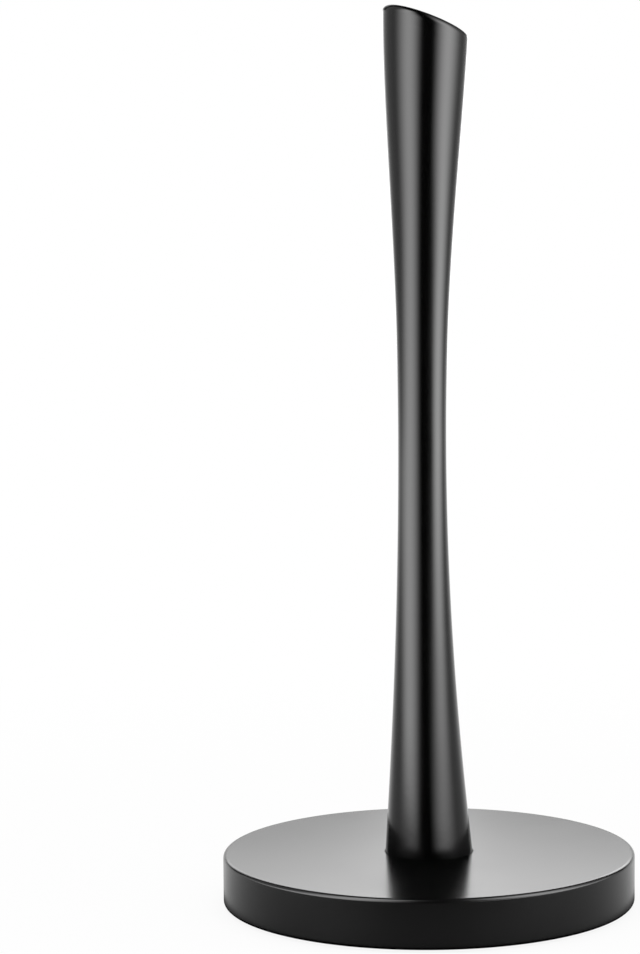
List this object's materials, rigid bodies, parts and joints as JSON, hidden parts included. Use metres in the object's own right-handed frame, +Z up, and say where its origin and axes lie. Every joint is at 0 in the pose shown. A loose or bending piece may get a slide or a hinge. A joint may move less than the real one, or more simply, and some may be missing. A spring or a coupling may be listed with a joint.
{
  "type": "paper towel holder",
  "caption": "Freestanding countertop paper towel holder: waisted round post with an obliquely cut, rounded head, bolted upright on a heavy round base with a soft foot pad.",
  "frame": {"origin": "on the tabletop under the middle of the round base", "axes": "+Z up along the post; the tall side of the obliquely cut head faces -X, and the XZ plane is the mirror plane"},
  "size_m": [0.175, 0.175, 0.3789],
  "materials": {
    "satin_coated_steel": "satin black powder coat",
    "bare_steel": "bare, as pressed",
    "zinc_plated_steel": "bright zinc plate",
    "cast_iron": "as cast",
    "eva_foam": "matte closed-cell foam"
  },
  "bodies": {
    "root": {"post_tube": "satin_coated_steel", "post_cap": "satin_coated_steel", "foot_disc": "bare_steel", "weld_nut": "zinc_plated_steel", "base_cover": "satin_coated_steel", "base_weight": "cast_iron", "base_plate": "zinc_plated_steel", "centre_bolt": "zinc_plated_steel", "flat_washer": "zinc_plated_steel", "spring_washer": "zinc_plated_steel", "foot_pad": "eva_foam"}
  },
  "joints": []
}
